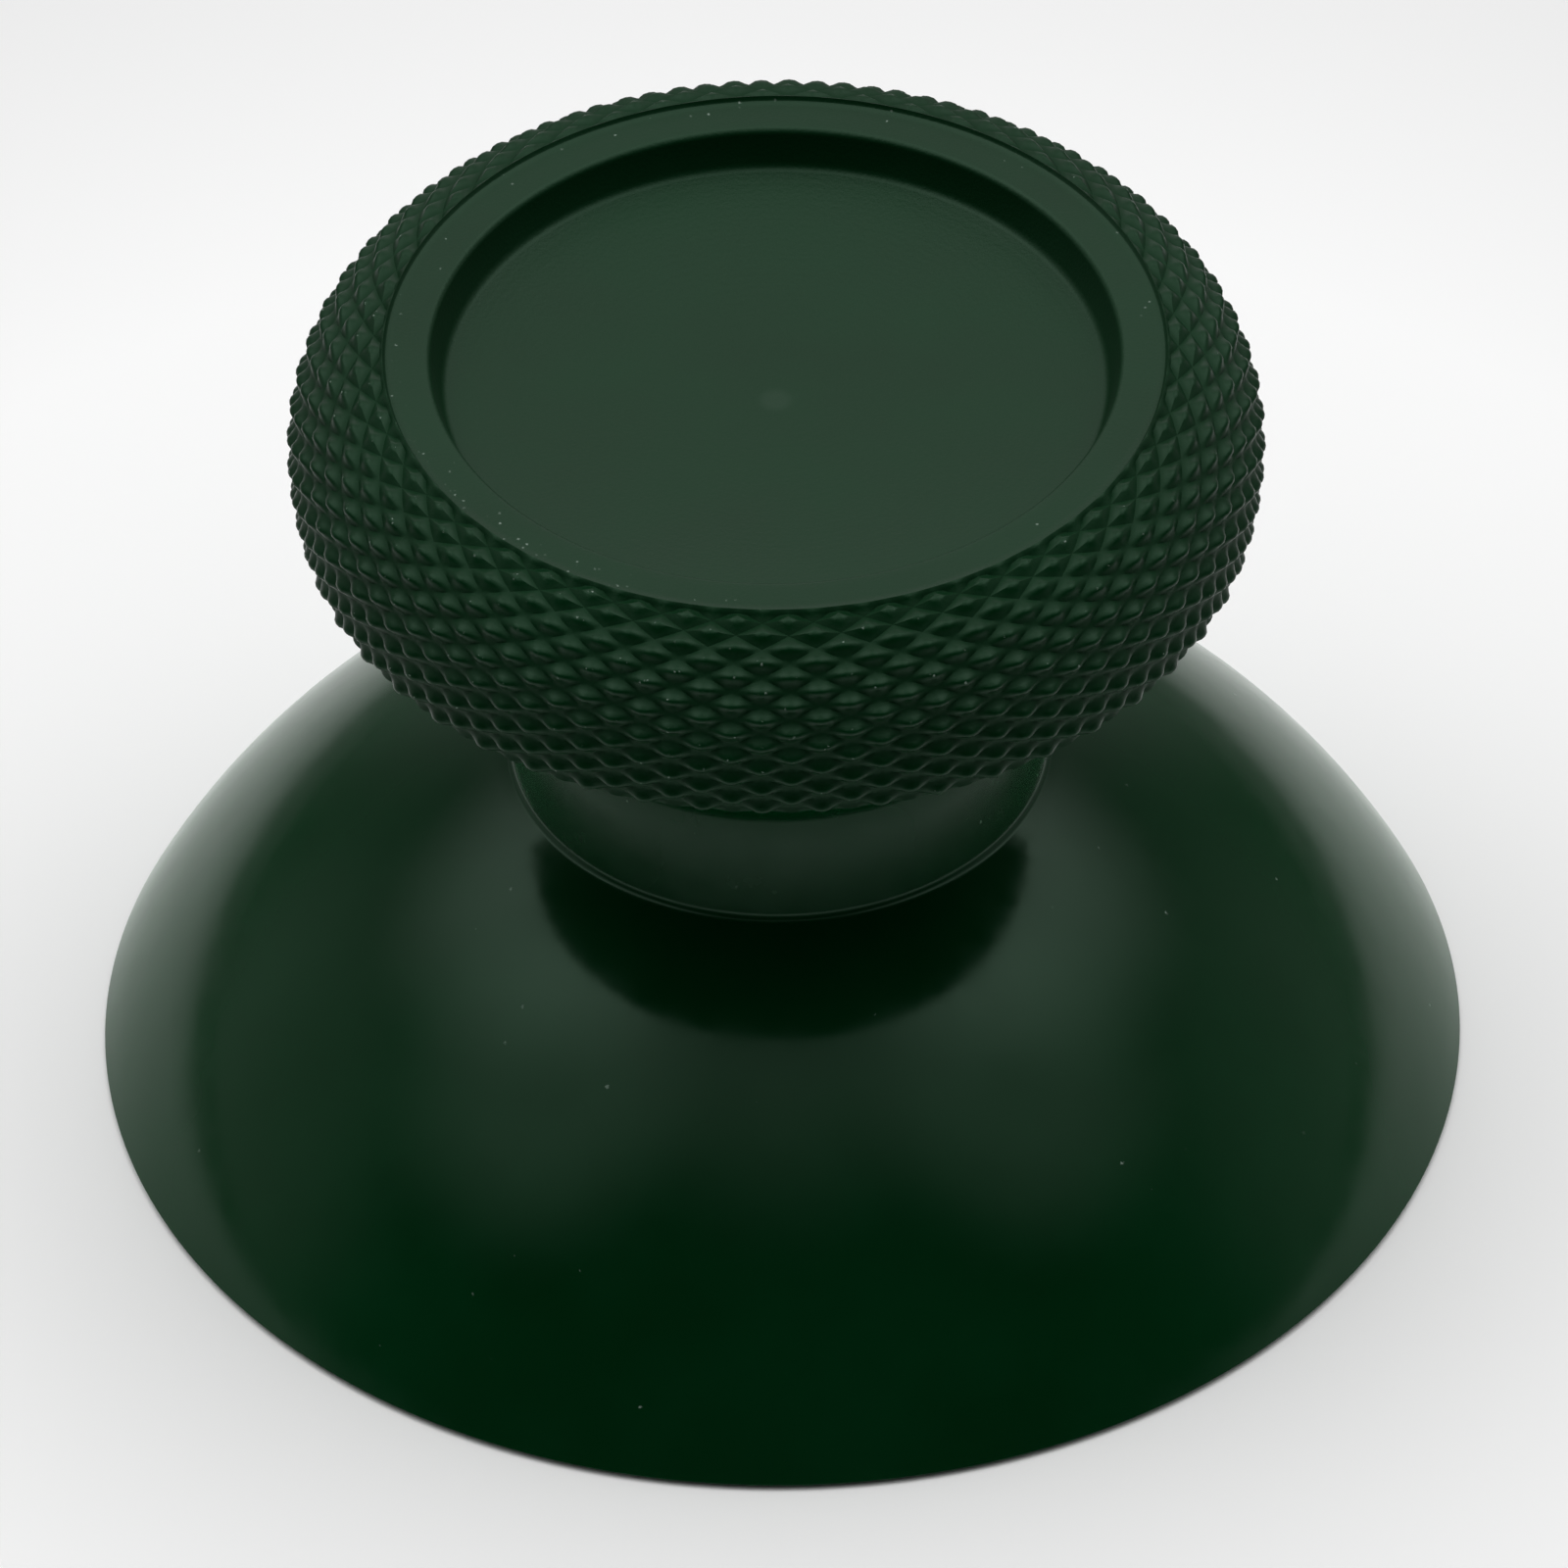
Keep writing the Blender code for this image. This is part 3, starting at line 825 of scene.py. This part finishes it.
def plain_plastic():
    """The hidden side's plastic: straight from the mould, duller, with coarser grain."""
    material, tree, shader, position = start_plastic("plain dark green plastic", PLASTIC_IOR)
    grain = place_group(tree, GRAIN, Grain_Size=COARSE_GRAIN)
    tree.links.new(position, grain.inputs["Position"])
    tree.links.new(green_of(tree, grain), shader.inputs["Base Color"])
    tree.links.new(roughness_of(tree, grain, HOLLOW_ROUGHNESS), shader.inputs["Roughness"])
    add_bump(tree, shader, grain.outputs["Height"], SATIN_GRAIN_DEPTH)
    return material


cap = make_cap()
cap.data.materials.append(satin_plastic())
cap.data.materials.append(knurl_plastic())
cap.data.materials.append(glossy_plastic("smooth dark green plastic", PLASTIC_IOR, NECK_ROUGHNESS))
cap.data.materials.append(glossy_plastic("glossy dark green plastic", POLISHED_IOR, DOME_ROUGHNESS))
cap.data.materials.append(plain_plastic())
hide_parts("thumbstick_cap")
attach(cap, "root")


def direction(azimuth, elevation):
    """Unit vector towards a place in the studio: azimuth 0 is the camera's side, and 90 its right."""
    a, e = math.radians(azimuth), math.radians(elevation)
    return (math.sin(a) * math.cos(e), -math.cos(a) * math.cos(e), math.sin(e))


def soft_panel_group():
    """A round soft light far away: full within Inner degrees of its axis, nothing past Outer degrees."""
    tree, entry, result = new_group(
        "soft panel",
        [
            ("Direction", "NodeSocketVector", None),
            ("Axis", "NodeSocketVector", None),
            ("Inner", "NodeSocketFloat", 10.0),
            ("Outer", "NodeSocketFloat", 30.0),
            ("Level", "NodeSocketFloat", 1.0),
        ],
        [("Level", "NodeSocketFloat")],
    )
    dot = tree.nodes.new("ShaderNodeVectorMath")
    dot.operation = "DOT_PRODUCT"
    tree.links.new(entry.outputs["Direction"], dot.inputs[0])
    tree.links.new(entry.outputs["Axis"], dot.inputs[1])
    angle = math_node(tree, "DEGREES", math_node(tree, "ARCCOSINE", dot.outputs["Value"]))
    step = tree.nodes.new("ShaderNodeMapRange")
    step.interpolation_type = "SMOOTHSTEP"
    tree.links.new(angle, step.inputs["Value"])
    tree.links.new(entry.outputs["Inner"], step.inputs["From Min"])
    tree.links.new(entry.outputs["Outer"], step.inputs["From Max"])
    step.inputs["To Min"].default_value = 1.0
    step.inputs["To Max"].default_value = 0.0
    level = math_node(tree, "MULTIPLY", step.outputs[0], entry.outputs["Level"])
    tree.links.new(level, result.inputs["Level"])
    return tree


def light_studio():
    """The studio's light: a grey room, open and dark on the camera's side, with soft panels round the cap."""
    world = bpy.data.worlds.new("studio")
    world.use_nodes = True
    tree = world.node_tree
    background = tree.nodes["Background"]
    coordinates = tree.nodes.new("ShaderNodeTexCoord")
    group = soft_panel_group()
    total = ROOM_LEVEL
    for name, azimuth, elevation, inner, outer, level in PANELS:
        node = place_group(
            tree, group, Axis=direction(azimuth, elevation), Inner=inner, Outer=outer, Level=level
        )
        node.label = name
        tree.links.new(coordinates.outputs["Generated"], node.inputs["Direction"])
        total = math_node(tree, "ADD", node.outputs["Level"], total)
    background.inputs["Color"].default_value = (1.0, 1.0, 1.0, 1.0)
    tree.links.new(total, background.inputs["Strength"])
    bpy.context.scene.world = world


def lay_floor():
    """A white round table: a flat disc that rises far away into a low wall, r -> (r, height).

    The table's white fades to grey with the distance from the cap, a painted shade for the light falling
    off away from it. Seen straight or in a reflection it is the photograph's white, and it lights the cap
    a little less. Its underside is clear, and it is open under the cap, so that the cap's underside shows
    from below.
    """
    flat = np.linspace(0.05, FLOOR_BEND_RADIUS, 12)
    bent = np.linspace(2.5, FLOOR_END_RADIUS, 12)
    radii = np.concatenate([[OPENING_RADIUS], flat, bent])
    height = FLOOR_RISE * smooth_step(FLOOR_BEND_RADIUS, FLOOR_END_RADIUS, radii) - FLOOR_GAP
    points = turned(np.stack([radii, height], axis=1), FLOOR_STEPS).reshape(-1, 3)
    faces = grid_faces(0, len(radii), FLOOR_STEPS).tolist()
    mesh = bpy.data.meshes.new("floor")
    mesh.from_pydata(points.tolist(), [], faces)
    mesh.polygons.foreach_set("use_smooth", [True] * len(faces))
    floor = bpy.data.objects.new("floor", mesh)
    bpy.context.scene.collection.objects.link(floor)
    material = bpy.data.materials.new("pale floor")
    material.use_nodes = True
    tree = material.node_tree
    shader = tree.nodes["Principled BSDF"]
    shader.inputs["Roughness"].default_value = 0.9
    shader.inputs["Specular IOR Level"].default_value = 0.1
    path = tree.nodes.new("ShaderNodeLightPath")
    seen = math_node(tree, "MAXIMUM", path.outputs["Is Camera Ray"], path.outputs["Is Glossy Ray"])
    seen = math_node(tree, "MAXIMUM", seen, path.outputs["Is Transmission Ray"])
    white = mix_colour(tree, seen, TABLE_WHITE, SEEN_WHITE)
    coordinates = tree.nodes.new("ShaderNodeTexCoord")
    distance = vector_length(tree, coordinates.outputs["Object"])
    # Painted shade: the table's colour greys with the distance from the cap, standing in for light falling
    # off
    far_shade = map_range(tree, distance, SHADE_START_RADIUS, SHADE_FULL_RADIUS, 0.0, 1.0)
    colour = mix_colour(tree, far_shade, white, FLOOR_SHADE_GREY)
    tree.links.new(colour, shader.inputs["Base Color"])
    geometry = tree.nodes.new("ShaderNodeNewGeometry")
    clear = tree.nodes.new("ShaderNodeBsdfTransparent")
    mix = tree.nodes.new("ShaderNodeMixShader")
    tree.links.new(geometry.outputs["Backfacing"], mix.inputs[0])
    tree.links.new(shader.outputs[0], mix.inputs[1])
    tree.links.new(clear.outputs[0], mix.inputs[2])
    tree.links.new(mix.outputs[0], tree.nodes["Material Output"].inputs["Surface"])
    mesh.materials.append(material)


def place_camera():
    """The photograph's view: a long lens from the front, above, turned a little about its own axis."""
    e, roll = math.radians(VIEW_ELEVATION), math.radians(VIEW_ROLL)
    forward = Vector((0.0, math.cos(e), -math.sin(e)))
    level_right = Vector((1.0, 0.0, 0.0))
    level_up = Vector((0.0, math.sin(e), math.cos(e)))
    right = level_right * math.cos(roll) + level_up * math.sin(roll)
    up = level_up * math.cos(roll) - level_right * math.sin(roll)
    data = bpy.data.cameras.new("camera")
    data.sensor_width = SENSOR
    data.lens = LENS
    data.clip_start = 0.01
    data.clip_end = 50.0
    camera = bpy.data.objects.new("camera", data)
    bpy.context.scene.collection.objects.link(camera)
    place = (Vector(VIEW_CENTRE) - forward * VIEW_DISTANCE) * MM
    turn = Matrix((right, up, -forward)).transposed().to_4x4()
    camera.matrix_world = Matrix.Translation(place) @ turn
    bpy.context.scene.camera = camera


light_studio()
lay_floor()
place_camera()
bpy.context.scene.view_settings.view_transform = "Standard"
